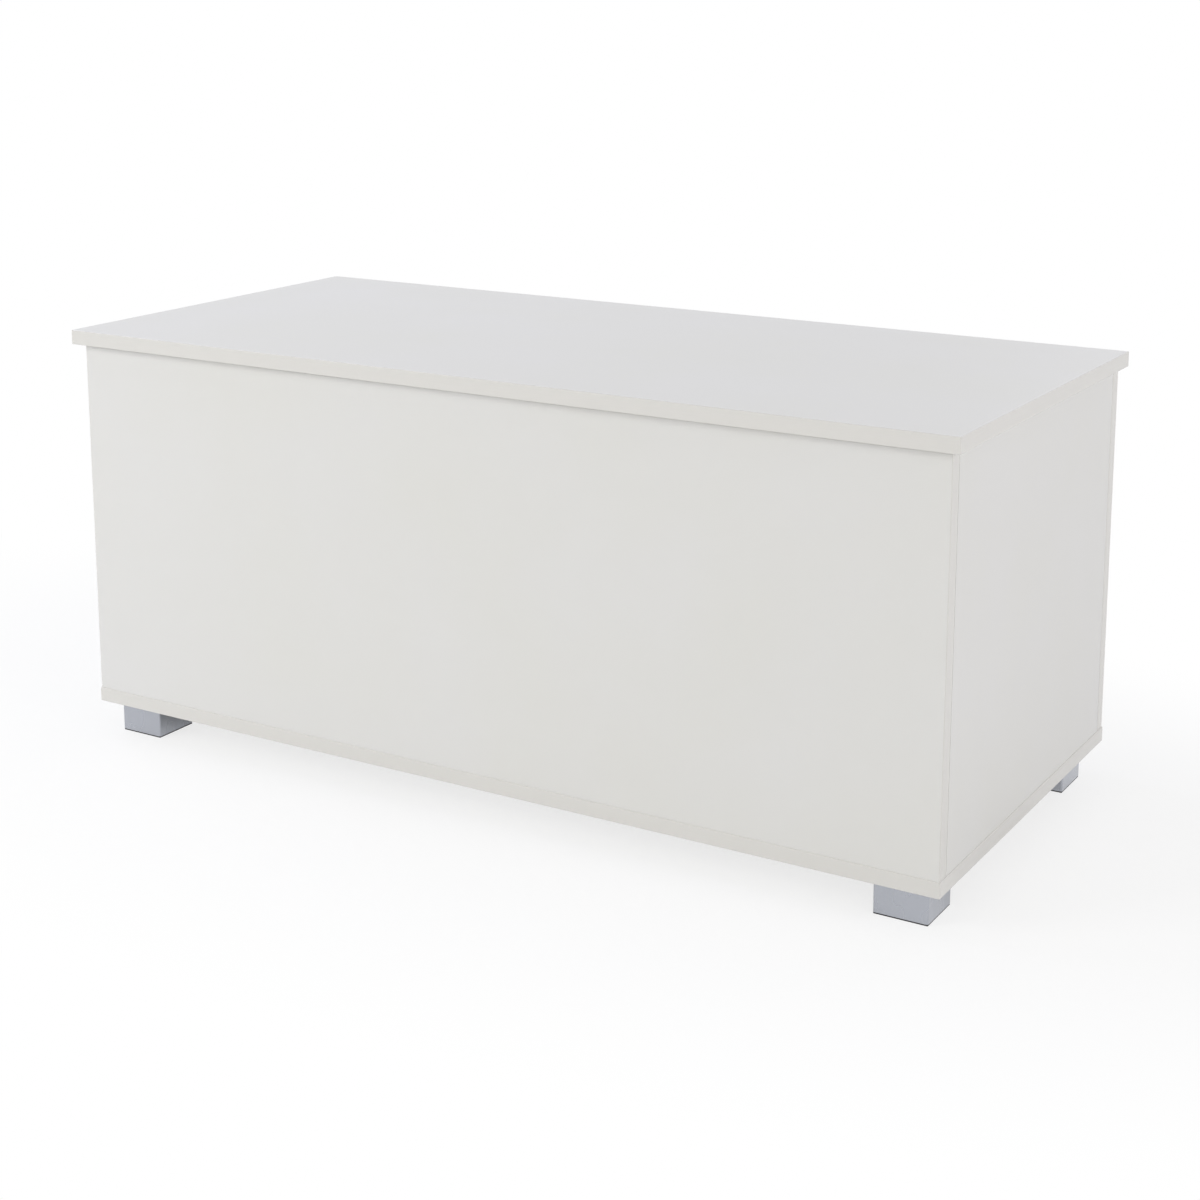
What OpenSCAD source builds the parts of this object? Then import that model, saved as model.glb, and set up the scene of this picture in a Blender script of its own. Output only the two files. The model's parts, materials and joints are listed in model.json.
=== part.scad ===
// White toy box of faced board: four walls on a full-size base, four square feet,
// and a lid on two flush hinges that two sliding lid stays hold open.
// +Z is up, the front faces -Y, and the origin is on the floor under the middle of the box.

/* [Boards] */
// Width of the box across its two ends
body_w = 960; // [860:5:1100]
// Depth of the box from its front face to its back face
body_d = 435; // [400:5:500]
// Height of the walls between the base and the lid gap
wall_h = 373; // [340:1:430]
// Thickness of every board
board = 15; // [15:1:18]
// Thickness of the edge band on the boards
band = 0.8; // [0.4:0.1:1]
// How far the base stands proud of the walls
base_proud = 1; // [0:0.5:3]

/* [Lid] */
// Overhang of the lid at each end
lid_side = 10; // [5:1:20]
// Overhang of the lid at the front
lid_front = 10; // [6.5:0.5:20]
// Gap between the walls and the lid, where the hinges and bumpers lie
lid_gap = 2; // [2:0.1:3]

/* [Feet] */
// Width of a square foot
foot_w = 52; // [44:1:60]
// Height of a foot without its pad
foot_h = 33.8; // [25:0.1:50]
// Thickness of the pad under a foot
pad_h = 1.2; // [1:0.1:4]
// Distance of the feet from the ends of the box
foot_in_side = 15; // [10:1:40]
// Distance of the front feet from the front face
foot_in_front = 15; // [10:1:40]
// Distance of the rear feet from the back face
foot_in_back = 20; // [10:1:40]

/* [Hinges] */
// Distance of each hinge from the middle of the box
hinge_x = 330; // [200:5:330]
// Length of a hinge
hinge_len = 70; // [60:1:80]
// Thickness of the steel leaves
leaf_t = 1.6; // [1.2:0.1:1.6]
// Diameter of the knuckles
knuckle_d = 5.6; // [5:0.1:5.6]
// Diameter of the hinge pin
pin_d = 2.8; // [2:0.1:3]

/* [Lid stays] */
// Distance of both stay pivots from the hinge line
stay_arm = 175; // [172:1:180]
// Angle at the hinge line between the two stay pivots, lid shut
stay_angle = 70; // [70:1:74]
// Opening angle of the lid
lid_open = 85; // [60:1:85]
// Outer diameter of the stay's tube
tube_d = 15; // [14:0.5:16]
// Diameter of the stay's rod
rod_d = 6; // [5:0.5:8]

/* [Hidden] */
$fn = 48;

WHITE = [0.88, 0.875, 0.865];
BAND = [0.86, 0.855, 0.845];
SILVER = [0.68, 0.69, 0.72];
STEEL = [0.74, 0.75, 0.76];
ZINC = [0.70, 0.70, 0.68];
BLACK = [0.07, 0.07, 0.08];
CLEAR = [0.90, 0.91, 0.92];
BEECH = [0.82, 0.66, 0.46];

// clearances: round pieces in their holes, and pieces that pass each other
fit = 0.05;
pass = 0.3;
// a cut runs past a face by this much
over = 1;

// heights
base_z = pad_h + foot_h;
wall_z = base_z + board;
rim_z = wall_z + wall_h;
lid_z = rim_z + lid_gap;

// hinge line, and depth positions with the whole depth centred on the origin
axis_back = knuckle_d / 2 + 0.4;
reach_back = axis_back + knuckle_d / 2;
front_y = lid_front - (lid_front + body_d + reach_back) / 2;
back_y = front_y + body_d;
axis_y = back_y + axis_back;
axis_z = rim_z + lid_gap / 2;
inner_x = body_w / 2 - board;
inner_front_y = front_y + board;
inner_back_y = back_y - board;
end_x = body_w / 2 - board / 2;
base_w = body_w + 2 * base_proud;
base_d = body_d + 2 * base_proud;
base_mid_y = (front_y + back_y) / 2;
lid_w = body_w + 2 * lid_side;
lid_d = body_d + lid_front;
lid_mid_y = (front_y - lid_front + back_y) / 2;

// base screws: head, shank through the base, tip in the wall
base_screw_l = 48;
base_screw_r = 3.5;
base_screw_tip_r = 2.5;
base_screw_head = [5, 3];
hex_r = 2.3;
wall_screw_xs = [-0.42, -0.14, 0.14, 0.42] * body_w;
end_screw_ys = [-0.23, 0.23] * body_d;

// cam fittings and dowels of the four upright corners
cam_r = 7.5;
cam_l = 12.5;
cam_in = 34;
cam_zs = [wall_z + 50, rim_z - 53];
cam_bolt_r = 3;
cam_bolt_bite = 11;
cam_bore_r = 4;
cap_r = 9;
cap_t = 0.8;
dowel_r = 4;
dowel_l = 30;
dowel_bite = 10;
dowel_zs = [wall_z + 100, rim_z - 103];
base_dowel_xs = [-0.28, 0.28] * body_w;

// small screws; a head is its radius and its height
screw_r = 1.75;
leaf_screw_head = [3.2, leaf_t];
box_leaf_screw_l = 24;
lid_leaf_screw_l = 12;
bracket_screw_l = 12;
foot_screw_r = 2;
foot_screw_l = 15;
foot_screw_head = [3.8, 2.2];

// flush hinge: the box leaf lies inside the window of the lid leaf
box_leaf_w = hinge_len / 2 + 1;
box_leaf_d = 13.6;
lid_leaf_d = 26;
leaf_r = 2;
window_w = box_leaf_w + 2 * pass;
window_d = box_leaf_d + axis_back + 0.8;
box_leaf_screws = [-0.3, 0.3] * box_leaf_w;
lid_leaf_arm_x = (hinge_len + window_w) / 4;
lid_leaf_screws = [
    [-lid_leaf_arm_x, -8], [lid_leaf_arm_x, -8],
    [-lid_leaf_arm_x, -20.5], [lid_leaf_arm_x, -20.5]
];

// feet
foot_wall = 3;
foot_top = 4;
foot_r = 2;
pad_r = 0.8;
foot_boss_r = 5.5;
foot_boss_h = 5;
foot_screw_at = foot_w * 0.22;
foot_x = body_w / 2 - foot_in_side - foot_w / 2;
foot_front_y = front_y + foot_in_front + foot_w / 2;
foot_rear_y = back_y - foot_in_back - foot_w / 2;

// bumpers
bumper_r = 4.5;
bumper_spots = [
    [-0.46 * body_w, front_y + board / 2], [0.46 * body_w, front_y + board / 2],
    [-end_x, 0], [end_x, 0]
];

// lid stays: both pivots are stay_arm from the hinge line, so the stay turns half as far as the lid
stay_x = inner_x - 16;
lid_pivot_drop = 11;
lid_pivot_dip = asin(lid_pivot_drop / stay_arm);
box_pivot_dip = lid_pivot_dip + stay_angle;
stay_shut_l = 2 * stay_arm * sin(stay_angle / 2);
stay_open_l = 2 * stay_arm * sin((stay_angle + lid_open) / 2);
stay_lean = (lid_pivot_dip + box_pivot_dip) / 2;
stay_box_y = axis_y - stay_arm * cos(box_pivot_dip);
stay_box_z = axis_z - stay_arm * sin(box_pivot_dip);
stay_lid_y = axis_y - stay_arm * cos(lid_pivot_dip);
stay_lid_z = axis_z - stay_arm * sin(lid_pivot_dip);
tube_wall = 1.5;
tube_from = 16;
tube_to = stay_shut_l - 17;
tube_bore_r = tube_d / 2 - tube_wall;
rod_from = tube_from + tube_wall + 3.2;
piston_l = 9;
piston_end = 2;
gland_l = 9;
eye_r = 7;
eye_w = 9;
eye_neck_r = 4.3;
rod_eye_neck = 14;
stud_r = 4;
stud_head_r = 5.4;
stud_head_t = 1.5;
collar_r = 6;
bracket_t = 2;
bracket_screw_head = [3.2, bracket_t];
box_bracket = [26, 54];
box_bracket_screws = [[0, 19], [0, -19], [-8, -12]];
lid_bracket = [30, 44];
lid_bracket_screws = [[-9, 15], [-9, -15], [-14, 0]];
lid_bracket_r = 3;
tab_w = 2 * eye_r + 4;
tab_x = eye_w / 2 + 3;

// ---------- shared shapes ----------

// rectangle with round corners, centred
module round_rect(w, d, r) {
    square([w - 2 * r, d], center = true);
    square([w, d - 2 * r], center = true);
    for (x = [-1, 1], y = [-1, 1])
        translate([x * (w / 2 - r), y * (d / 2 - r)])
            circle(r);
}

// rectangle from y = -d to 0 with two round corners at -d
module round_end(w, d, r) {
    translate([-w / 2, r - d])
        square([w, d - r]);
    translate([r - w / 2, -d])
        square([w - 2 * r, d]);
    for (x = [-1, 1])
        translate([x * (w / 2 - r), r - d])
            circle(r);
}

// box given by its lowest corner and highest corner
module block(lo, hi) {
    translate(lo)
        cube(hi - lo);
}

// countersunk screw along +Z, the flat of its head at z = 0
module sunk_screw(l, r, head, recess = true) {
    difference() {
        union() {
            cylinder(h = head[1], r1 = head[0], r2 = r);
            cylinder(h = l - r, r = r);
            translate([0, 0, l - r])
                cylinder(h = r, r1 = r, r2 = 0.3);
        }
        if (recess)
            for (a = [0, 90])
                rotate([0, 0, a])
                    block([-head[0] * 0.55, -0.4, -over], [head[0] * 0.55, 0.4, head[1] * 0.7]);
    }
}

// the hole that such a screw needs, running past the head side
module sunk_hole(l, r, head) {
    translate([0, 0, -over])
        cylinder(h = over + 0.01, r = head[0] + fit);
    cylinder(h = head[1], r1 = head[0] + fit, r2 = r + fit);
    cylinder(h = l + 0.3, r = r + fit);
}

// turns a shape that runs along +Z so that it runs along the given side of Y
module along_y(side) {
    rotate([side > 0 ? -90 : 90, 0, 0])
        children();
}

// turns a shape that runs along +Z so that it runs along the given side of X
module along_x(side) {
    rotate([0, side > 0 ? 90 : -90, 0])
        children();
}

// ---------- boards ----------

// places a shape at each screw that comes up through the base, its head level with the underside
module at_base_screws() {
    for (x = wall_screw_xs, y = [front_y + board / 2, back_y - board / 2])
        translate([x, y, base_z])
            children();
    for (x = [-end_x, end_x], y = end_screw_ys)
        translate([x, y, base_z])
            children();
}

// head, thick shank and thinner thread of a base screw, grown by c for its hole
module base_screw_shape(c) {
    cylinder(h = base_screw_head[1], r1 = base_screw_head[0] + c, r2 = base_screw_r + c);
    cylinder(h = board, r = base_screw_r + c);
    cylinder(h = base_screw_l - 3, r = base_screw_tip_r + c);
    translate([0, 0, base_screw_l - 3])
        cylinder(h = 3, r1 = base_screw_tip_r + c, r2 = 0.8);
}

module base_screw_hole() {
    translate([0, 0, -over])
        cylinder(h = over + 0.01, r = base_screw_head[0] + fit);
    base_screw_shape(fit);
}

// places a shape at each dowel between the base and the front and back walls, at its lower end
module at_base_dowels() {
    for (x = base_dowel_xs, y = [front_y + board / 2, back_y - board / 2])
        translate([x, y, wall_z - dowel_bite])
            children();
}

// places a shape at each upright joint: at the inner face of the front or back wall, running inwards
module at_corner_joints(zs) {
    for (x = [-end_x, end_x], z = zs) {
        translate([x, inner_front_y, z])
            along_y(1)
                children();
        translate([x, inner_back_y, z])
            along_y(-1)
                children();
    }
}

// places a shape at each cam, on the inner face of an end wall and running into the board
module at_cams() {
    for (s = [-1, 1], y = [inner_front_y + cam_in, inner_back_y - cam_in], z = cam_zs)
        translate([s * inner_x, y, z])
            along_x(s)
                children();
}

module dowel_hole() {
    translate([0, 0, -dowel_bite - fit])
        cylinder(h = dowel_l + 2 * fit, r = dowel_r + fit);
}

module cam_bolt_hole() {
    translate([0, 0, -cam_bolt_bite - fit])
        cylinder(h = cam_bolt_bite + 2 * fit, r = cam_bolt_r + fit);
    cylinder(h = cam_in, r = cam_bore_r);
}

// everything that is bored into the walls
module wall_holes() {
    at_base_screws()
        base_screw_hole();
    at_base_dowels()
        translate([0, 0, -fit])
            cylinder(h = dowel_l + 2 * fit, r = dowel_r + fit);
    at_corner_joints(cam_zs)
        cam_bolt_hole();
    at_corner_joints(dowel_zs)
        dowel_hole();
    at_cams()
        cylinder(h = cam_l, r = cam_r + fit);
    at_hinges()
        at_box_leaf_screws()
            sunk_hole(box_leaf_screw_l, screw_r, leaf_screw_head);
    at_stays()
        at_box_bracket_screws()
            sunk_hole(bracket_screw_l, screw_r, bracket_screw_head);
}

// front or back wall with its edge band left off
module long_wall_core(y) {
    color(WHITE)
        difference() {
            block([-body_w / 2 + band, y, wall_z], [body_w / 2 - band, y + board, rim_z - band]);
            wall_holes();
        }
}

// edge band round the top and both ends of the front or back wall
module long_wall_band(y) {
    color(BAND)
        difference() {
            block([-body_w / 2, y, wall_z], [body_w / 2, y + board, rim_z]);
            block([-body_w / 2 + band, y - over, wall_z - over],
                  [body_w / 2 - band, y + board + over, rim_z - band]);
            wall_holes();
        }
}

// one end wall, s = -1 for the left
module end_wall_core(s) {
    color(WHITE)
        difference() {
            translate([s * end_x, (inner_front_y + inner_back_y) / 2, wall_z])
                linear_extrude(wall_h - band)
                    square([board, inner_back_y - inner_front_y], center = true);
            wall_holes();
        }
}

module end_wall_band(s) {
    color(BAND)
        translate([s * end_x, (inner_front_y + inner_back_y) / 2, rim_z - band])
            linear_extrude(band)
                square([board, inner_back_y - inner_front_y], center = true);
}

module base_panel() {
    color(WHITE)
        difference() {
            translate([0, base_mid_y, base_z])
                linear_extrude(board)
                    square([base_w - 2 * band, base_d - 2 * band], center = true);
            at_base_screws()
                base_screw_hole();
            at_base_dowels()
                translate([0, 0, -fit])
                    cylinder(h = dowel_l, r = dowel_r + fit);
            at_feet()
                at_foot_screws()
                    cylinder(h = foot_screw_l - foot_top + 0.3, r = foot_screw_r + fit);
        }
}

module base_edging() {
    color(BAND)
        translate([0, base_mid_y, base_z])
            linear_extrude(board)
                difference() {
                    square([base_w, base_d], center = true);
                    square([base_w - 2 * band, base_d - 2 * band], center = true);
                }
}

// ---------- fasteners of the box ----------

module base_screws() {
    color(ZINC)
        at_base_screws()
            difference() {
                base_screw_shape(0);
                translate([0, 0, -over])
                    cylinder(h = 3 + over, r = hex_r, $fn = 6);
            }
}

module cam_locks() {
    color(ZINC)
        at_cams()
            difference() {
                cylinder(h = cam_l, r = cam_r);
                // room for the bolt's neck and head on both sides of the cam's middle
                translate([0, 0, board / 2])
                    along_y(1)
                        translate([0, 0, -cam_r - over])
                            cylinder(h = 2 * cam_r + 2 * over, r = cam_bore_r);
                // driver recess
                for (a = [0, 90])
                    rotate([0, 0, a])
                        block([-3, -0.6, -over], [3, 0.6, 2]);
                translate([0, 0, -over])
                    cylinder(h = 2.5 + over, r = 2.2);
            }
}

module cam_bolts() {
    color(STEEL)
        at_corner_joints(cam_zs) {
            translate([0, 0, -cam_bolt_bite])
                cylinder(h = cam_bolt_bite, r = cam_bolt_r);
            cylinder(h = 1.2, r = cam_bore_r - 0.2);
            cylinder(h = cam_in - 3, r = 2.4);
            translate([0, 0, cam_in - 5])
                cylinder(h = 4, r = 3.4);
        }
}

module cam_caps() {
    color(WHITE)
        at_cams() {
            translate([0, 0, -cap_t])
                cylinder(h = cap_t, r1 = cap_r - 0.5, r2 = cap_r);
            cylinder(h = 2, r = 2);
        }
}

module wooden_dowels() {
    color(BEECH) {
        at_corner_joints(dowel_zs)
            translate([0, 0, -dowel_bite])
                dowel();
        at_base_dowels()
            dowel();
    }
}

// beech dowel with chamfered ends
module dowel() {
    cylinder(h = 1, r1 = dowel_r - 1, r2 = dowel_r);
    translate([0, 0, 1])
        cylinder(h = dowel_l - 2, r = dowel_r);
    translate([0, 0, dowel_l - 1])
        cylinder(h = 1, r1 = dowel_r, r2 = dowel_r - 1);
}

module lid_bumpers() {
    color(CLEAR)
        for (p = bumper_spots)
            translate([p[0], p[1], rim_z]) {
                cylinder(h = lid_gap / 2, r = bumper_r);
                translate([0, 0, lid_gap / 2])
                    cylinder(h = lid_gap / 2, r1 = bumper_r, r2 = bumper_r - 0.8);
            }
}

// ---------- feet ----------

// one foot's place, x and y sides as -1 or 1, at the underside of the base
module at_foot(sx, sy) {
    translate([sx * foot_x, sy < 0 ? foot_front_y : foot_rear_y, base_z])
        children();
}

module at_feet() {
    for (sx = [-1, 1], sy = [-1, 1])
        at_foot(sx, sy)
            children();
}

module at_foot_screws() {
    for (s = [-1, 1])
        translate([s * foot_screw_at, s * foot_screw_at, 0])
            children();
}

// hollow moulded foot, open below, with a boss round each screw
module foot(sx, sy) {
    color(SILVER)
        at_foot(sx, sy)
            difference() {
                translate([0, 0, -foot_h])
                    linear_extrude(foot_h)
                        round_rect(foot_w, foot_w, foot_r);
                difference() {
                    translate([0, 0, -foot_h - over])
                        linear_extrude(foot_h - foot_top + over)
                            round_rect(foot_w - 2 * foot_wall, foot_w - 2 * foot_wall, 1);
                    at_foot_screws()
                        translate([0, 0, -foot_top - foot_boss_h])
                            cylinder(h = foot_boss_h + over, r = foot_boss_r);
                }
                at_foot_screws() {
                    translate([0, 0, -foot_top - over])
                        cylinder(h = foot_top + 2 * over, r = foot_screw_r + fit);
                    translate([0, 0, -foot_top - foot_boss_h - over])
                        cylinder(h = foot_boss_h + over, r = foot_screw_head[0] + 0.4);
                }
            }
}

module foot_pad(sx, sy) {
    color(BLACK)
        at_foot(sx, sy)
            translate([0, 0, -foot_h - pad_h])
                linear_extrude(pad_h)
                    round_rect(foot_w - 0.8, foot_w - 0.8, pad_r);
}

module foot_screws() {
    color(ZINC)
        at_feet()
            at_foot_screws()
                translate([0, 0, -foot_top])
                    difference() {
                        union() {
                            translate([0, 0, -foot_screw_head[1]])
                                cylinder(h = foot_screw_head[1], r = foot_screw_head[0]);
                            cylinder(h = foot_screw_l - 2, r = foot_screw_r);
                            translate([0, 0, foot_screw_l - 2])
                                cylinder(h = 2, r1 = foot_screw_r, r2 = 0.4);
                        }
                        for (a = [0, 90])
                            rotate([0, 0, a])
                                block([-2, -0.4, -foot_screw_head[1] - over], [2, 0.4, -0.6]);
                    }
}

// ---------- flush hinges ----------

// one hinge's place: the origin on the hinge line, at the middle of the hinge
module at_hinge(s) {
    translate([s * hinge_x, axis_y, axis_z])
        children();
}

module at_hinges() {
    for (s = [-1, 1])
        at_hinge(s)
            children();
}

// the knuckle between two stations on the hinge line, bored for the pin
module knuckle(from, to) {
    translate([from, 0, 0])
        along_x(1)
            cylinder(h = to - from, r = knuckle_d / 2);
}

module pin_bore() {
    translate([-hinge_len, 0, 0])
        along_x(1)
            cylinder(h = 2 * hinge_len, r = pin_d / 2 + fit);
}

// places a shape at the box leaf's screws, running down
module at_box_leaf_screws() {
    for (x = box_leaf_screws)
        translate([x, -axis_back - board / 2, -lid_gap / 2 + leaf_t])
            rotate([180, 0, 0])
                children();
}

// places a shape at the lid leaf's screws, running up
module at_lid_leaf_screws() {
    for (p = lid_leaf_screws)
        translate([p[0], -axis_back + p[1], lid_gap / 2 - leaf_t])
            children();
}

// leaf on the top edge of the back wall, inside the window of the lid's leaf
module hinge_box_leaf(s) {
    color(STEEL)
        at_hinge(s)
            difference() {
                union() {
                    translate([0, 0, -lid_gap / 2])
                        linear_extrude(leaf_t)
                            round_end(box_leaf_w, axis_back + box_leaf_d, leaf_r);
                    knuckle(-box_leaf_w / 2, box_leaf_w / 2);
                }
                pin_bore();
                at_box_leaf_screws()
                    sunk_hole(box_leaf_screw_l, screw_r, leaf_screw_head);
            }
}

// leaf under the lid: a frame round the other leaf, with a knuckle at each end
module hinge_lid_leaf(s) {
    color(STEEL)
        at_hinge(s)
            difference() {
                union() {
                    translate([0, 0, lid_gap / 2 - leaf_t])
                        linear_extrude(leaf_t)
                            round_end(hinge_len, axis_back + lid_leaf_d, leaf_r);
                    knuckle(-hinge_len / 2, hinge_len / 2);
                }
                block([-window_w / 2, -window_d, -knuckle_d], [window_w / 2, knuckle_d, knuckle_d]);
                pin_bore();
                at_lid_leaf_screws()
                    sunk_hole(lid_leaf_screw_l, screw_r, leaf_screw_head);
            }
}

// pin with a thin head at each end of the hinge
module hinge_pin(s) {
    color(STEEL)
        at_hinge(s) {
            translate([-hinge_len / 2, 0, 0])
                along_x(1)
                    cylinder(h = hinge_len, r = pin_d / 2);
            for (e = [-1, 1])
                translate([e * hinge_len / 2, 0, 0])
                    along_x(e)
                        cylinder(h = 0.7, r1 = knuckle_d / 2 - 0.4, r2 = knuckle_d / 2 - 0.9);
        }
}

module hinge_box_screws() {
    color(STEEL)
        at_hinges()
            at_box_leaf_screws()
                sunk_screw(box_leaf_screw_l, screw_r, leaf_screw_head);
}

module hinge_lid_screws() {
    color(STEEL)
        at_hinges()
            at_lid_leaf_screws()
                sunk_screw(lid_leaf_screw_l, screw_r, leaf_screw_head);
}

// ---------- lid ----------

module lid_panel() {
    color(WHITE)
        difference() {
            translate([0, lid_mid_y, lid_z])
                linear_extrude(board)
                    square([lid_w - 2 * band, lid_d - 2 * band], center = true);
            at_hinges()
                at_lid_leaf_screws()
                    sunk_hole(lid_leaf_screw_l, screw_r, leaf_screw_head);
            at_stays()
                at_lid_bracket_screws()
                    sunk_hole(bracket_screw_l, screw_r, bracket_screw_head);
        }
}

module lid_edging() {
    color(BAND)
        translate([0, lid_mid_y, lid_z])
            linear_extrude(board)
                difference() {
                    square([lid_w, lid_d], center = true);
                    square([lid_w - 2 * band, lid_d - 2 * band], center = true);
                }
}

// ---------- lid stays ----------
// A right-hand stay is drawn, and the left-hand one is its mirror image.

module handed(s) {
    if (s > 0)
        children();
    else
        mirror([1, 0, 0])
            children();
}

module at_stays() {
    for (s = [-1, 1])
        handed(s)
            children();
}

// the origin at the stay's lower pivot
module at_box_pivot() {
    translate([stay_x, stay_box_y, stay_box_z])
        children();
}

// the origin at the stay's upper pivot
module at_lid_pivot() {
    translate([stay_x, stay_lid_y, stay_lid_z])
        children();
}

// +Z of what is drawn runs along the stay, from the lower pivot to the upper one
module along_stay() {
    at_box_pivot()
        rotate([stay_lean, 0, 0])
            children();
}

// places a shape at the screws of the bracket on the end wall, running outwards into the board
module at_box_bracket_screws() {
    at_box_pivot()
        for (p = box_bracket_screws)
            translate([inner_x - stay_x - bracket_t, p[0], p[1]])
                along_x(1)
                    children();
}

// places a shape at the screws of the bracket under the lid, running up
module at_lid_bracket_screws() {
    for (p = lid_bracket_screws)
        translate([stay_x + p[0], stay_lid_y + p[1], lid_z - bracket_t])
            children();
}

// stud that carries an eye, with a head that keeps it on: from x = from down to the head
module stud(from) {
    translate([from, 0, 0])
        along_x(-1) {
            cylinder(h = from - eye_w / 2 - fit, r = collar_r);
            cylinder(h = from + eye_w / 2 + 2 * fit, r = stud_r);
            translate([0, 0, from + eye_w / 2 + fit])
                cylinder(h = stud_head_t, r1 = stud_head_r, r2 = stud_head_r - 0.8);
        }
}

module stay_box_bracket(s) {
    color(STEEL)
        handed(s)
            difference() {
                at_box_pivot() {
                    translate([inner_x - stay_x, 0, 0])
                        along_x(-1)
                            linear_extrude(bracket_t)
                                round_rect(box_bracket[1], box_bracket[0], 4);
                    stud(inner_x - stay_x - bracket_t);
                }
                at_box_bracket_screws()
                    sunk_hole(bracket_screw_l, screw_r, bracket_screw_head);
            }
}

module stay_box_screws() {
    color(ZINC)
        at_stays()
            at_box_bracket_screws()
                sunk_screw(bracket_screw_l, screw_r, bracket_screw_head);
}

module stay_lid_bracket(s) {
    color(STEEL)
        handed(s)
            difference() {
                union() {
                    translate([stay_x + tab_x + bracket_t - lid_bracket[0] / 2, stay_lid_y, lid_z - bracket_t])
                        linear_extrude(bracket_t)
                            round_rect(lid_bracket[0], lid_bracket[1], lid_bracket_r);
                    at_lid_pivot() {
                        block([tab_x, -tab_w / 2, 0], [tab_x + bracket_t, tab_w / 2, lid_z - stay_lid_z]);
                        translate([tab_x, 0, 0])
                            along_x(1)
                                cylinder(h = bracket_t, r = tab_w / 2);
                        stud(tab_x);
                    }
                }
                at_lid_bracket_screws()
                    sunk_hole(bracket_screw_l, screw_r, bracket_screw_head);
            }
}

module stay_lid_screws() {
    color(ZINC)
        at_stays()
            at_lid_bracket_screws()
                sunk_screw(bracket_screw_l, screw_r, bracket_screw_head);
}

// tube closed at its lower end
module stay_tube(s) {
    color(BLACK)
        handed(s)
            along_stay()
                difference() {
                    translate([0, 0, tube_from])
                        cylinder(h = tube_to - tube_from, r = tube_d / 2);
                    translate([0, 0, tube_from + tube_wall])
                        cylinder(h = tube_to, r = tube_bore_r);
                }
}

// eye on a stud with a neck towards the tube or rod; dir = 1 where the neck points along the stay
module eye(dir, neck_l) {
    difference() {
        union() {
            along_x(1)
                translate([0, 0, -eye_w / 2])
                    cylinder(h = eye_w, r = eye_r);
            rotate([dir > 0 ? 0 : 180, 0, 0])
                cylinder(h = neck_l, r = eye_neck_r);
        }
        along_x(1)
            translate([0, 0, -eye_w])
                cylinder(h = 2 * eye_w, r = stud_r + fit);
    }
}

module stay_tube_eye(s) {
    color(BLACK)
        handed(s)
            along_stay()
                eye(1, tube_from);
}

module stay_rod_eye(s) {
    color(BLACK)
        handed(s)
            along_stay()
                translate([0, 0, stay_shut_l])
                    eye(-1, rod_eye_neck);
}

module stay_rod(s) {
    color(STEEL)
        handed(s)
            along_stay()
                translate([0, 0, rod_from])
                    cylinder(h = stay_shut_l - rod_eye_neck - rod_from, r = rod_d / 2);
}

// cup-shaped piston on the lower end of the rod, sliding in the tube
module stay_piston(s) {
    color(BLACK)
        handed(s)
            along_stay()
                translate([0, 0, rod_from - piston_end])
                    difference() {
                        cylinder(h = piston_l, r = tube_bore_r - fit);
                        translate([0, 0, piston_end])
                            cylinder(h = piston_l, r = rod_d / 2 + fit);
                    }
}

// guide bush in the mouth of the tube
module stay_gland(s) {
    color(BLACK)
        handed(s)
            along_stay()
                translate([0, 0, tube_to - gland_l])
                    difference() {
                        union() {
                            cylinder(h = gland_l, r = tube_bore_r - fit);
                            translate([0, 0, gland_l])
                                cylinder(h = 1, r1 = tube_d / 2, r2 = tube_d / 2 - 1);
                        }
                        translate([0, 0, -over])
                            cylinder(h = gland_l + 3 * over, r = rod_d / 2 + 2 * fit);
                    }
}

assert(stay_open_l - stay_shut_l + piston_l + gland_l < tube_to - rod_from,
       "the stay's travel fits in its tube");

// ---------- nodes ----------

long_wall_core(front_y);  // front_panel
long_wall_core(inner_back_y);  // back_panel
end_wall_core(-1);  // left_side_panel
end_wall_core(1);  // right_side_panel
base_panel();
long_wall_band(front_y);  // front_panel_edging
long_wall_band(inner_back_y);  // back_panel_edging
end_wall_band(-1);  // left_side_edging
end_wall_band(1);  // right_side_edging
base_edging();
foot(-1, -1);  // front_left_foot
foot(1, -1);  // front_right_foot
foot(-1, 1);  // rear_left_foot
foot(1, 1);  // rear_right_foot
foot_pad(-1, -1);  // front_left_foot_pad
foot_pad(1, -1);  // front_right_foot_pad
foot_pad(-1, 1);  // rear_left_foot_pad
foot_pad(1, 1);  // rear_right_foot_pad
foot_screws();
base_screws();
cam_locks();
cam_bolts();
cam_caps();
wooden_dowels();
hinge_box_leaf(-1);  // left_hinge_box_leaf
hinge_box_leaf(1);  // right_hinge_box_leaf
hinge_pin(-1);  // left_hinge_pin
hinge_pin(1);  // right_hinge_pin
hinge_box_screws();
stay_box_bracket(-1);  // left_stay_box_bracket
stay_box_bracket(1);  // right_stay_box_bracket
stay_box_screws();
lid_bumpers();
lid_panel();
lid_edging();
hinge_lid_leaf(-1);  // left_hinge_lid_leaf
hinge_lid_leaf(1);  // right_hinge_lid_leaf
hinge_lid_screws();
stay_lid_bracket(-1);  // left_stay_lid_bracket
stay_lid_bracket(1);  // right_stay_lid_bracket
stay_lid_screws();
stay_tube(-1);  // left_stay_tube
stay_tube(1);  // right_stay_tube
stay_tube_eye(-1);  // left_stay_tube_eye
stay_tube_eye(1);  // right_stay_tube_eye
stay_gland(-1);  // left_stay_gland
stay_gland(1);  // right_stay_gland
stay_rod(-1);  // left_stay_rod
stay_rod(1);  // right_stay_rod
stay_rod_eye(-1);  // left_stay_rod_eye
stay_rod_eye(1);  // right_stay_rod_eye
stay_piston(-1);  // left_stay_piston
stay_piston(1);  // right_stay_piston
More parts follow.
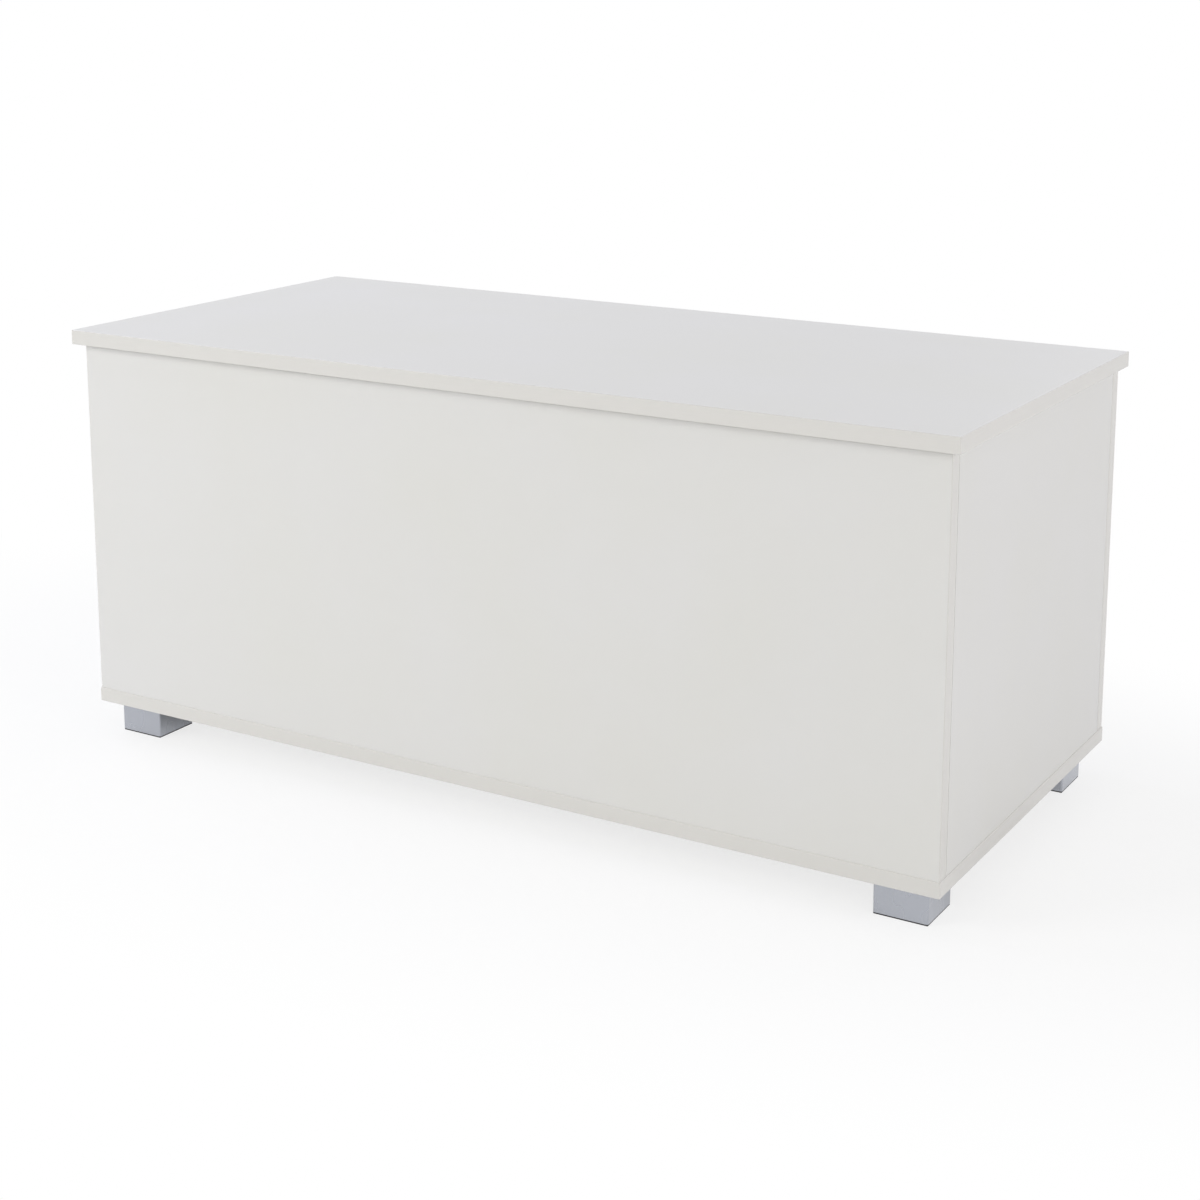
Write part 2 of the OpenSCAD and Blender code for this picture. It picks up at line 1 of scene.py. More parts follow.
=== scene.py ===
"""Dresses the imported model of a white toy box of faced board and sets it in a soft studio.

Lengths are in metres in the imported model's own frame: +X is the box's right, the front faces -Y,
+Z is up and the floor is z = 0. Boards whose shape is right keep their solids and get a finish. Edge
bands, feet, pads, hinges, lid stays and small fittings are made again here with rounded arrises.
"""

import sys
import json
import logging
import math
from dataclasses import dataclass, field
from enum import Enum
from typing import Any, Iterable, Sequence

import bmesh
import bpy
import numpy as np
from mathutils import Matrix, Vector


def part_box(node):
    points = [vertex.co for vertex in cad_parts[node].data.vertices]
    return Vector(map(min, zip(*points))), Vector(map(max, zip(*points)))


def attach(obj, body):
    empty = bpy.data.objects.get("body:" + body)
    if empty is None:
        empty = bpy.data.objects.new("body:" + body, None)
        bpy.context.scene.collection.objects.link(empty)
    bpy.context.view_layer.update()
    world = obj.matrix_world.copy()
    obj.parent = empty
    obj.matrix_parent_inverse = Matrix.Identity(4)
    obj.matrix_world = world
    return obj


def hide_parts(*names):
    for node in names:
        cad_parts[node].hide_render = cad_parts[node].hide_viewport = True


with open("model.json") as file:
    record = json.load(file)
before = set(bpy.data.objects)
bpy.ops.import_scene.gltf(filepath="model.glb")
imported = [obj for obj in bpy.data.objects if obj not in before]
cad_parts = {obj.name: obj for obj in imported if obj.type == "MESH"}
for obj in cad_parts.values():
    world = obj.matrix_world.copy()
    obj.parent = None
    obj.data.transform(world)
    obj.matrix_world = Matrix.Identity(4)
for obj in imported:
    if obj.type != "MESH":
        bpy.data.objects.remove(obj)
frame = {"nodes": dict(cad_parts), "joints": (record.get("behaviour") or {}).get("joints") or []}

LOG = logging.getLogger("toy_box")
MM = 0.001
WHITE = "#FFFFFF"
NOISE_MIDDLE = {"From Min": 0.3, "From Max": 0.7}
MOSTLY_METAL = 0.5
DOUBLE_POINT = 0.001 * MM
FLAT_ANGLE = math.radians(0.5)
SHARP_ANGLE = math.radians(40)
ARRIS_STEPS = 2
Pair = tuple[float, float]
Triple = tuple[float, float, float]


class Side(Enum):
    """The two ends of the box, by the sign of their X."""

    LEFT = -1
    RIGHT = 1

    @property
    def word(self) -> str:
        """The word that the solids' names start with."""
        return self.name.lower()


# ---------- colours and nodes ----------


def linear(hex_colour: str) -> tuple[float, float, float, float]:
    """Turns an sRGB hex colour into the linear values that a shader takes.

    Args:
        hex_colour: A colour such as "#E0DFDC".

    Returns:
        Red, green, blue and an alpha of 1.
    """
    channels = [int(hex_colour[i:i + 2], 16) / 255 for i in (1, 3, 5)]
    red, green, blue = [c / 12.92 if c <= 0.04045 else ((c + 0.055) / 1.055) ** 2.4 for c in channels]
    return red, green, blue, 1.0


def add(tree: bpy.types.NodeTree, kind: str, inputs: dict[Any, Any] | None = None,
        **settings: Any) -> bpy.types.Node:
    """Adds one node to a tree, with its settings and its links.

    Args:
        tree: The node tree.
        kind: The node's Blender type.
        inputs: Values or output sockets, by the name or number of the input that takes them.
        **settings: The node's own properties.

    Returns:
        The new node.
    """
    node = tree.nodes.new(kind)
    for name, value in settings.items():
        setattr(node, name, value)
    for name, value in (inputs or {}).items():
        if isinstance(value, bpy.types.NodeSocket):
            tree.links.new(value, node.inputs[name])
        else:
            node.inputs[name].default_value = value
    return node


# ---------- finishes ----------


class Finish:
    """What every finish has: the values of its shader, and one pattern of grains of a real size.

    Attributes:
        slot: The name of its material slot in the record. Nothing in this script uses it.
        colour: Its sRGB colour.
        second: The colour at the pattern's high end, or None for an even colour.
        roughness: How rough its surface is, on average.
        uneven: How far the pattern takes the roughness below and above that, or None for an even gloss.
        metallic: How much of it is metal. What is mostly metal keeps the shader's own IOR.
        ior: Its index of refraction otherwise.
        size: The width of one grain of the pattern.
        stretch: How often the pattern repeats along each axis, against a round grain.
        on_uv: True where the pattern follows the piece's own UV map, which is in metres too.
        depth: The depth of the pattern as a relief, or 0 for none.
        tree: The material's node tree, once it is being made.
        shader: The material's shader, once it is being made.
    """

    slot: str = ""
    colour: str = WHITE
    second: str | None = None
    roughness: float = 0.5
    uneven: Pair | None = None
    metallic: float = 0.0
    ior: float = 1.5
    size: float = 1 * MM
    stretch: Triple = (1, 1, 1)
    on_uv: bool = False
    depth: float = 0.0
    tree: bpy.types.NodeTree
    shader: bpy.types.Node

    def __init__(self, slot: str = "") -> None:
        """Takes another slot than the finish's usual one, where one is given."""
        self.slot = slot or self.slot

    @property
    def title(self) -> str:
        """The material's name, which is the finish's class name."""
        return type(self).__name__

    def material(self) -> bpy.types.Material:
        """Gives this finish's material, and makes it at the first call.

        Returns:
            The material.
        """
        known = bpy.data.materials.get(self.title)
        if known is not None:
            return known
        made = bpy.data.materials.new(self.title)
        made.use_nodes = True
        self.tree = made.node_tree
        self.shader = self.tree.nodes["Principled BSDF"]
        self.shader.inputs["Base Color"].default_value = linear(self.colour)
        self.shader.inputs["Roughness"].default_value = self.roughness
        self.shader.inputs["Metallic"].default_value = self.metallic
        if self.metallic < MOSTLY_METAL:
            self.shader.inputs["IOR"].default_value = self.ior
        self.dress()
        return made

    def dress(self) -> None:
        """Adds the pattern to the shader's colour, gloss and relief, as far as the finish has each."""
        pattern = self.grain(self.size)
        if self.second is not None:
            self.tint(pattern)
        if self.uneven is not None:
            self.gloss(pattern)
        if self.depth:
            self.relief((pattern, self.depth))

    def grain(self, size: float, detail: float = 2.0,
              stretch: Sequence[float] | None = None) -> bpy.types.NodeSocket:
        """Adds a noise whose grains have a real size.

        Args:
            size: The width of one grain.
            detail: How many finer noises are laid on top.
            stretch: How often it repeats along each axis, or None for the finish's own stretch.

        Returns:
            The noise's output, from 0 to 1.
        """
        place = add(self.tree, "ShaderNodeTexCoord").outputs["UV" if self.on_uv else "Object"]
        scale = tuple(self.stretch if stretch is None else stretch)
        mapped = add(self.tree, "ShaderNodeMapping", {"Vector": place, "Scale": scale}).outputs[0]
        inputs = {"Vector": mapped, "Scale": 1 / size, "Detail": detail}
        return add(self.tree, "ShaderNodeTexNoise", inputs).outputs["Fac"]

    def tint(self, fac: bpy.types.NodeSocket) -> None:
        """Mixes the finish's two colours by the middle of a noise, where most of it lies.

        Args:
            fac: The noise.
        """
        share = add(self.tree, "ShaderNodeMapRange", {"Value": fac, **NOISE_MIDDLE}).outputs[0]
        mixed = add(self.tree, "ShaderNodeMix", data_type="RGBA",
                    inputs={0: share, 6: linear(self.colour), 7: linear(self.second)})
        self.tree.links.new(mixed.outputs[2], self.shader.inputs["Base Color"])

    def gloss(self, fac: bpy.types.NodeSocket) -> None:
        """Varies the roughness by the middle of a noise, as far as the finish is uneven.

        Args:
            fac: The noise.
        """
        reach = {"To Min": self.roughness - self.uneven[0], "To Max": self.roughness + self.uneven[1]}
        rough = add(self.tree, "ShaderNodeMapRange", {"Value": fac, **NOISE_MIDDLE, **reach}).outputs[0]
        self.tree.links.new(rough, self.shader.inputs["Roughness"])

    def relief(self, *layers: tuple[bpy.types.NodeSocket, float]) -> None:
        """Lays bumps on the shader, one over the other.

        Args:
            *layers: Pairs of a height from 0 to 1 and its depth.
        """
        below: bpy.types.NodeSocket | None = None
        for height, depth in layers:
            inputs = {"Height": height, "Distance": depth, "Strength": 1.0}
            if below is not None:
                inputs["Normal"] = below
            below = add(self.tree, "ShaderNodeBump", inputs).outputs[0]
        self.tree.links.new(below, self.shader.inputs["Normal"])


class MelamineFacing(Finish):
    """Decor paper soaked in melamine resin, pressed hot on particle board between satin plates.

    The eye sees an even white with a soft sheen, which the chips under the paper make very slightly
    wavy, and close up the fine pearl grain of the press plate.
    """

    slot = "board_white"
    colour = "#E2E1DF"
    second = "#E1E0DC"
    roughness = 0.34
    uneven = (0.04, 0.04)
    ior = 1.55
    size = 0.9 * MM
    depth = 0.006 * MM
    chip_wave = 14 * MM
    wave_depth = 0.012 * MM
    cloud = 160 * MM

    def dress(self) -> None:
        """Adds the pearl grain, the waviness over the chips and a trace of unevenness in the white."""
        pearl = self.grain(self.size)
        wave = self.grain(self.chip_wave, detail=1.0)
        self.tint(self.grain(self.cloud))
        self.gloss(pearl)
        self.relief((wave, self.wave_depth), (pearl, self.depth))


class AbsEdgeBand(Finish):
    """Extruded ABS edge band, glued on hot and scraped flush.

    The eye sees a white a shade warmer and darker than the faces, which shines more than they do at a low
    angle, with hair lines along the band where the scraper ran. The real lines are finer than 0.1 mm, and
    are drawn coarser so that they show.
    """

    slot = "edge_white"
    colour = "#DDDBD6"
    second = "#DFDDD9"
    roughness = 0.24
    uneven = (0.03, 0.03)
    ior = 1.53
    size = 0.4 * MM
    stretch = (0.008, 1.0, 1.0)
    on_uv = True
    depth = 0.0015 * MM


class SilverLacqueredAbs(Finish):
    """ABS feet, injection moulded and sprayed with silver metallic lacquer.

    The eye sees a cool satin grey that mirrors the floor and the dark under the box softly, and fine
    bright flakes close up. Real flakes are about 0.03 mm wide; these are ten times that, so that they show.
    """

    slot = "foot_silver"
    colour = "#ADB0B8"
    second = "#B8BBC2"
    roughness = 0.28
    uneven = (0.04, 0.05)
    metallic = 0.86
    size = 0.3 * MM
    depth = 0.001 * MM
    flow = 22 * MM
    flow_stretch = (1.0, 1.0, 0.5)
    flow_depth = 0.006 * MM
    coat = 0.25
    coat_roughness = 0.2

    def dress(self) -> None:
        """Adds the flakes, the flow marks of the moulding under the lacquer, and the clear coat on top."""
        flakes = self.grain(self.size, detail=0.0)
        flow = self.grain(self.flow, detail=1.0, stretch=self.flow_stretch)
        self.tint(flakes)
        self.gloss(flow)
        self.shader.inputs["Coat Weight"].default_value = self.coat
        self.shader.inputs["Coat Roughness"].default_value = self.coat_roughness
        self.relief((flow, self.flow_depth), (flakes, self.depth))


class BlackRubber(Finish):
    """Die-cut black rubber of the foot pads: a dull, slightly dusty near-black with a fine grain."""

    slot = "pad_black"
    colour = "#262628"
    second = "#3A393A"
    roughness = 0.78
    ior = 1.52
    size = 0.6 * MM
    depth = 0.03 * MM
    dust = 7 * MM

    def dress(self) -> None:
        """Adds the dust in patches, and the grain as a relief."""
        self.tint(self.grain(self.dust))
        self.relief((self.grain(self.size), self.depth))


class NickelPlatedSteel(Finish):
    """Cold-rolled steel, pressed to shape and nickel-plated.

    The eye sees a warm bright grey, satin, with cloudy patches of the plating and the rolled sheet's faint
    lines. The real lines are finer than 0.1 mm, and are drawn coarser so that they show.
    """

    slot = "hinge_steel"
    colour = "#C8C5BE"
    second = "#B6B3AD"
    roughness = 0.27
    uneven = (0.03, 0.05)
    metallic = 1.0
    size = 0.4 * MM
    line_stretch = (0.04, 1.0, 1.0)
    depth = 0.001 * MM
    cloud = 12 * MM

    def dress(self) -> None:
        """Adds the rolled lines and the clouds of the plating."""
        lines = self.grain(self.size, stretch=self.line_stretch)
        self.tint(self.grain(self.cloud))
        self.gloss(lines)
        self.relief((lines, self.depth))


class ZincPlatedSteel(Finish):
    """Cold-headed screws, bright zinc-plated: a cool grey of uneven gloss, with straw-tinged patches."""

    slot = "screw_zinc"
    colour = "#C2C4C6"
    second = "#C9C3B2"
    roughness = 0.30
    uneven = (0.06, 0.08)
    metallic = 1.0
    size = 3 * MM


class DieCastZinc(Finish):
    """Cam locks of die-cast zinc, tumbled: a dull mid grey with a fine cast grain."""

    slot = "cam_zinc"
    colour = "#A9AAA9"
    second = "#969896"
    roughness = 0.48
    metallic = 1.0
    size = 0.5 * MM
    depth = 0.02 * MM


class TurnedSteel(Finish):
    """Cam bolts turned from bright steel bar: a clean grey with fine rings from the tool.

    The bolts lie along Y, and so the rings repeat along it. They are drawn coarser than the tool's feed
    of about 0.1 mm, so that they show.
    """

    slot = "bolt_steel"
    colour = "#BEBFC1"
    roughness = 0.25
    uneven = (0.06, 0.08)
    metallic = 1.0
    size = 0.3 * MM
    stretch = (0.02, 1.0, 0.02)
    depth = 0.004 * MM


class HardChrome(Finish):
    """Rod ground round and hard-chromed: a bright mirror with barely seen rings from the stone.

    The real rings are finer than 0.05 mm, and are drawn coarser so that they show.
    """

    slot = "rod_chrome"
    colour = "#D3D5D7"
    roughness = 0.09
    uneven = (0.03, 0.05)
    metallic = 1.0
    size = 0.3 * MM
    stretch = (0.03, 1.0, 1.0)
    on_uv = True


class BlackEnamel(Finish):
    """Steel tube with baked black enamel: deep and smooth, with the slight orange peel of sprayed paint."""

    slot = "stay_black"
    colour = "#1D1D1F"
    roughness = 0.30
    uneven = (0.04, 0.06)
    size = 2.5 * MM
    depth = 0.012 * MM


class MouldedNylon(Finish):
    """Glass-filled nylon of the eyes, guide bushes and pistons: matt black, with fibres as paler specks.

    The mould's grain and the fibres are finer than 0.1 mm, and are drawn coarser so that they show.
    """

    slot = "stay_plastic"
    colour = "#232324"
    second = "#2D2D2F"
    roughness = 0.52
    ior = 1.53
    size = 0.5 * MM
    depth = 0.02 * MM


class MouldedPolyethylene(Finish):
    """Cover caps of white moulded polyethylene: a waxy white a little brighter than the board.

    The mould's spark-eroded grain is finer than 0.1 mm, and is drawn coarser so that it shows.
    """

    slot = "cap_white"
    colour = "#E6E5E2"
    roughness = 0.45
    uneven = (0.05, 0.06)
    ior = 1.51
    size = 0.4 * MM
    depth = 0.012 * MM
    waxy = 0.15
    light_depth = 1.0 * MM

    def dress(self) -> None:
        """Adds the waxy depth and the grain."""
        self.shader.inputs["Subsurface Weight"].default_value = self.waxy
        self.shader.inputs["Subsurface Scale"].default_value = self.light_depth
        super().dress()


class ClearPolyurethane(Finish):
    """Soft cast polyurethane bumpers: clear, slightly cloudy domes."""

    slot = "bumper_clear"
    colour = "#F8FAFA"
    roughness = 0.18
    uneven = (0.05, 0.08)
    ior = 1.49
    size = 2 * MM
    cloudy = 0.55

    def dress(self) -> None:
        """Lets light through and adds the cloudiness of the cast."""
        self.shader.inputs["Transmission Weight"].default_value = 1 - self.cloudy
        super().dress()


class BeechDowel(Finish):
    """Turned and fluted beech: pinkish straw with short dark flecks along the grain."""

    slot = "dowel_beech"
    colour = "#D3AD80"
    second = "#B98D5F"
    roughness = 0.62
    size = 0.7 * MM
    stretch = (1.0, 0.3, 0.3)
    depth = 0.03 * MM


class StudioPaper(Finish):
    """The studio's seamless white paper: plain white far out, and with a light shadow kept round the box.

    Its fibres are drawn coarser than real ones, so that they show.
    """

    roughness = 0.9
    ior = 1.45
    size = 1.5 * MM
    depth = 0.02 * MM
    specular = 0.1
    kept_shadow = 0.25
    shadow_reach = 0.55
    plain_from = 1.3
    box_depth_ratio = 2.0
    under_box = 0.42
    beside_box = 0.62

    def dress(self) -> None:
        """Mixes in a plain white where the paper is seen: all of it far out, and a part of it near the box.

        Gloss takes none of it under the box, so that the feet mirror the dark there. The ground round the
        box is measured in ovals: by the length of (x, y times a ratio).
        """
        super().dress()
        self.shader.inputs["Specular IOR Level"].default_value = self.specular
        place = add(self.tree, "ShaderNodeTexCoord").outputs["Object"]
        stretched = {"Vector": place, "Scale": (1, self.box_depth_ratio, 1)}
        oval = add(self.tree, "ShaderNodeMapping", stretched).outputs[0]
        reach = add(self.tree, "ShaderNodeVectorMath", {0: oval}, operation="LENGTH").outputs["Value"]
        bare, beside = (
            add(self.tree, "ShaderNodeMapRange", interpolation_type="SMOOTHSTEP",
                inputs={"Value": reach, "From Min": start, "From Max": stop, "To Min": least}).outputs[0]
            for start, stop, least in ((self.shadow_reach, self.plain_from, 1 - self.kept_shadow),
                                       (self.under_box, self.beside_box, 0.0)))
        rays = add(self.tree, "ShaderNodeLightPath").outputs
        straight = add(self.tree, "ShaderNodeMath", operation="MAXIMUM",
                       inputs={0: rays["Is Camera Ray"], 1: rays["Is Transmission Ray"]}).outputs[0]
        mirrored = add(self.tree, "ShaderNodeMath", operation="MULTIPLY",
                       inputs={0: rays["Is Glossy Ray"], 1: beside}).outputs[0]
        seen = add(self.tree, "ShaderNodeMath", {0: straight, 1: mirrored}, operation="MAXIMUM").outputs[0]
        share = add(self.tree, "ShaderNodeMath", {0: seen, 1: bare}, operation="MULTIPLY").outputs[0]
        white = add(self.tree, "ShaderNodeEmission", {"Color": linear(WHITE), "Strength": 1.0}).outputs[0]
        both = add(self.tree, "ShaderNodeMixShader", {0: share, 1: self.shader.outputs[0], 2: white})
        self.tree.links.new(both.outputs[0], self.tree.nodes["Material Output"].inputs["Surface"])


# ---------- surfaces ----------


@dataclass
class Surface:
    """A mesh as whole arrays.

    Attributes:
        points: The vertices, one row each.
        quads: Four vertex numbers for each face of the grid.
        uvs: A UV in metres for each corner of each quad: U along the path, V across it.
        ends: Vertex numbers of each flat end face.
    """

    points: np.ndarray
    quads: np.ndarray
    uvs: np.ndarray
    ends: list[np.ndarray] = field(default_factory=list)

    def moved(self, offset: Sequence[float]) -> "Surface":
        """Gives a copy moved by an offset."""
        return Surface(self.points + np.asarray(offset, float), self.quads, self.uvs, self.ends)

    def axes(self, first: Sequence[float], second: Sequence[float], third: Sequence[float]) -> "Surface":
        """Gives a copy whose own X, Y and Z run along three given directions."""
        return Surface(self.points @ np.array([first, second, third], float), self.quads, self.uvs, self.ends)


def joined(surfaces: Iterable[Surface]) -> Surface:
    """Puts several surfaces into one.

    Args:
        surfaces: The surfaces.

    Returns:
        One surface, in which each of them is a shell of its own.
    """
    points, quads, uvs, ends, start = [], [], [], [], 0
    for surface in surfaces:
        points.append(surface.points)
        quads.append(surface.quads + start)
        uvs.append(surface.uvs)
        ends.extend(end + start for end in surface.ends)
        start += len(surface.points)
    return Surface(np.concatenate(points), np.concatenate(quads), np.concatenate(uvs), ends)


def grid(points: np.ndarray, around: bool, closed_section: bool, capped: bool) -> Surface:
    """Makes a surface from a grid of points, whose rows run along V and whose columns run along U.

    Args:
        points: An array of rows by columns by 3.
        around: True to join the last column to the first.
        closed_section: True to join the last row to the first.
        capped: True to close the open direction with two flat faces.

    Returns:
        The surface, with a UV from the mean distance between neighbouring rows and columns.
    """
    rows, columns, _ = points.shape
    index = np.arange(rows * columns).reshape(rows, columns)
    ends = []
    if capped:
        ends = [index[:, 0], index[:, -1]] if closed_section else [index[0], index[-1]]
    if around:
        index = np.concatenate([index, index[:, :1]], axis=1)
    if closed_section:
        index = np.concatenate([index, index[:1]], axis=0)
    spread = points.reshape(-1, 3)[index]
    along = np.linalg.norm(np.diff(spread, axis=1), axis=2).mean(axis=0)
    across = np.linalg.norm(np.diff(spread, axis=0), axis=2).mean(axis=1)
    u, v = np.meshgrid(np.concatenate([[0], np.cumsum(along)]), np.concatenate([[0], np.cumsum(across)]))
    uv = np.stack([u, v], axis=-1)

    def corners(values: np.ndarray) -> np.ndarray:
        """Gathers the four corners of every cell of a grid, in order round the cell."""
        return np.stack([values[:-1, :-1], values[:-1, 1:], values[1:, 1:], values[1:, :-1]], axis=2)

    return Surface(points.reshape(-1, 3), corners(index).reshape(-1, 4), corners(uv).reshape(-1, 4, 2), ends)


def filleted(corners: Sequence[Sequence[float]], steps: int = 3, closed: bool = True) -> np.ndarray:
    """Rounds the corners of a flat outline.

    A corner becomes the arc that touches both its sides. With h as half the angle between them, the arc
    starts radius / tan h from the corner, and its centre is radius / sin h from it.

    Args:
        corners: The outline's corners, as rows of two coordinates and a radius that is 0 for a sharp one.
        steps: The steps in each arc.
        closed: True where the outline closes on itself.

    Returns:
        The points of the rounded outline.
    """
    rows = np.asarray(corners, float)
    outline = rows[:, :2]
    pieces = []
    for i, (point, radius) in enumerate(zip(outline, rows[:, 2])):
        if radius <= 0 or (not closed and i in (0, len(outline) - 1)):
            pieces.append(point[None])
            continue
        back, on = outline[i - 1] - point, outline[(i + 1) % len(outline)] - point
        back, on = back / np.linalg.norm(back), on / np.linalg.norm(on)
        half = math.acos(float(np.clip(back @ on, -1, 1))) / 2
        centre = point + (back + on) / np.linalg.norm(back + on) * radius / math.sin(half)
        first, last = (point + side * radius / math.tan(half) - centre for side in (back, on))
        sweep, t = math.pi - 2 * half, np.linspace(0, 1, steps + 1)[:, None]
        arc = (np.sin((1 - t) * sweep) * first + np.sin(t * sweep) * last) / math.sin(sweep)
        pieces.append(centre + arc)
    return np.concatenate(pieces)


def rectangle(width: float, depth: float, radius: float, steps: int = 4) -> np.ndarray:
    """Gives the outline of a rectangle with round corners, centred, anticlockwise."""
    x, y = width / 2, depth / 2
    return filleted([(-x, -y, radius), (x, -y, radius), (x, y, radius), (-x, y, radius)], steps)


def carried(section: np.ndarray, path: np.ndarray, around: bool) -> Surface:
    """Carries a closed section along a flat path.

    A point of the surface is the path's point, less the path's outward normal times the section's inset,
    with the section's second number as its height. The normal is the mean of those of the two sides.

    Args:
        section: The section as rows of inset and height.
        path: The path's points, with the outside on its right.
        around: True where the path closes on itself; if not, flat faces close the two ends.

    Returns:
        The surface, in the path's X and Y with the height along Z.
    """
    if around:
        step = np.roll(path, -1, axis=0) - path
        before = np.roll(step, 1, axis=0)
    else:
        step = np.diff(path, axis=0)
        before, step = np.vstack([step[:1], step]), np.vstack([step, step[-1:]])
    step, before = (s / np.linalg.norm(s, axis=1, keepdims=True) for s in (step, before))
    middle = step + before
    middle /= np.linalg.norm(middle, axis=1, keepdims=True)
    outward = np.stack([middle[:, 1], -middle[:, 0]], axis=1)
    flat = path[None] - outward[None] * section[:, :1, None]
    height = np.broadcast_to(section[:, 1:2], flat.shape[:2])
    return grid(np.concatenate([flat, height[..., None]], axis=2), around, True, not around)


def ring_stack(width: float, depth: float, radius: float, corners: Sequence[Sequence[float]],
               least: float = 0.4 * MM) -> Surface:
    """Lofts rounded rectangles through a profile and closes both ends.

    Each ring is the rectangle drawn in by the profile's inset, its corner radius less by as much, at the
    profile's height.

    Args:
        width: The size along X.
        depth: The size along Y.
        radius: The corner radius of the outermost ring.
        corners: The profile's corners, as rows of inset, height and rounding.
        least: The least corner radius.

    Returns:
        The surface, centred on Z.
    """
    rings = []
    for inset, height in filleted(corners, closed=False):
        ring = rectangle(width - 2 * inset, depth - 2 * inset, max(radius - inset, least))
        rings.append(np.column_stack([ring, np.full(len(ring), height)]))
    return grid(np.stack(rings), True, False, True)


def lathed(profile: np.ndarray, sides: int) -> Surface:
    """Turns a profile about Z: a point is (r cos a, r sin a, z) for a full turn of a.

    Args:
        profile: Rows of radius and height.
        sides: The steps in one turn.

    Returns:
        The surface, with poles where the radius is 0.
    """
    angle = np.linspace(0, 2 * math.pi, sides, endpoint=False)
    radius, height = profile[:, :1], np.broadcast_to(profile[:, 1:2], (len(profile), sides))
    points = np.stack([radius * np.cos(angle), radius * np.sin(angle), height], axis=2)
    return grid(points, True, False, False)


def turned(corners: Sequence[Sequence[float]], sides: int = 40, closed: bool = False) -> Surface:
    """Rounds the corners of a profile, whose rows are radius, height and rounding, and turns it about Z."""
    profile = filleted(corners, closed=closed)
    return lathed(np.vstack([profile, profile[:1]]) if closed else profile, sides)


def bar(radius: float, start: float, stop: float, arris: float) -> Surface:
    """A round bar along Z with rounded arrises at both its ends."""
    return turned([(0, start, 0), (radius, start, arris), (radius, stop, arris), (0, stop, 0)])


def pipe(outer: float, bore: float, start: float, stop: float, arris: float) -> Surface:
    """A pipe along Z with rounded arrises inside and outside: its section is a closed loop turned about Z."""
    ends = [(bore, start, arris), (outer, start, arris), (outer, stop, arris), (bore, stop, arris)]
    return turned(ends, closed=True)


# ---------- pieces ----------


def linked(name: str, data: bpy.types.ID) -> bpy.types.Object:
    """Makes an object and links it into the scene.

    Args:
        name: The object's name.
        data: Its mesh, lamp or camera.

    Returns:
        The object.
    """
    made = bpy.data.objects.new(name, data)
    bpy.context.scene.collection.objects.link(made)
    return made


def settle_mesh(mesh: bpy.types.Mesh, flat: bool = False) -> None:
    """Merges double points, turns the faces outwards and leaves sharp only the edges past an angle.

    Args:
        mesh: The mesh, changed in place.
        flat: True to join triangles that lie in one plane.
    """
    work = bmesh.new()
    work.from_mesh(mesh)
    bmesh.ops.remove_doubles(work, verts=work.verts, dist=DOUBLE_POINT)
    if flat:
        bmesh.ops.dissolve_limit(work, angle_limit=FLAT_ANGLE, verts=work.verts, edges=work.edges)
    bmesh.ops.recalc_face_normals(work, faces=work.faces)
    for face in work.faces:
        face.smooth = True
    for edge in work.edges:
        edge.smooth = edge.calc_face_angle(0.0) < SHARP_ANGLE
    work.to_mesh(mesh)
    work.free()


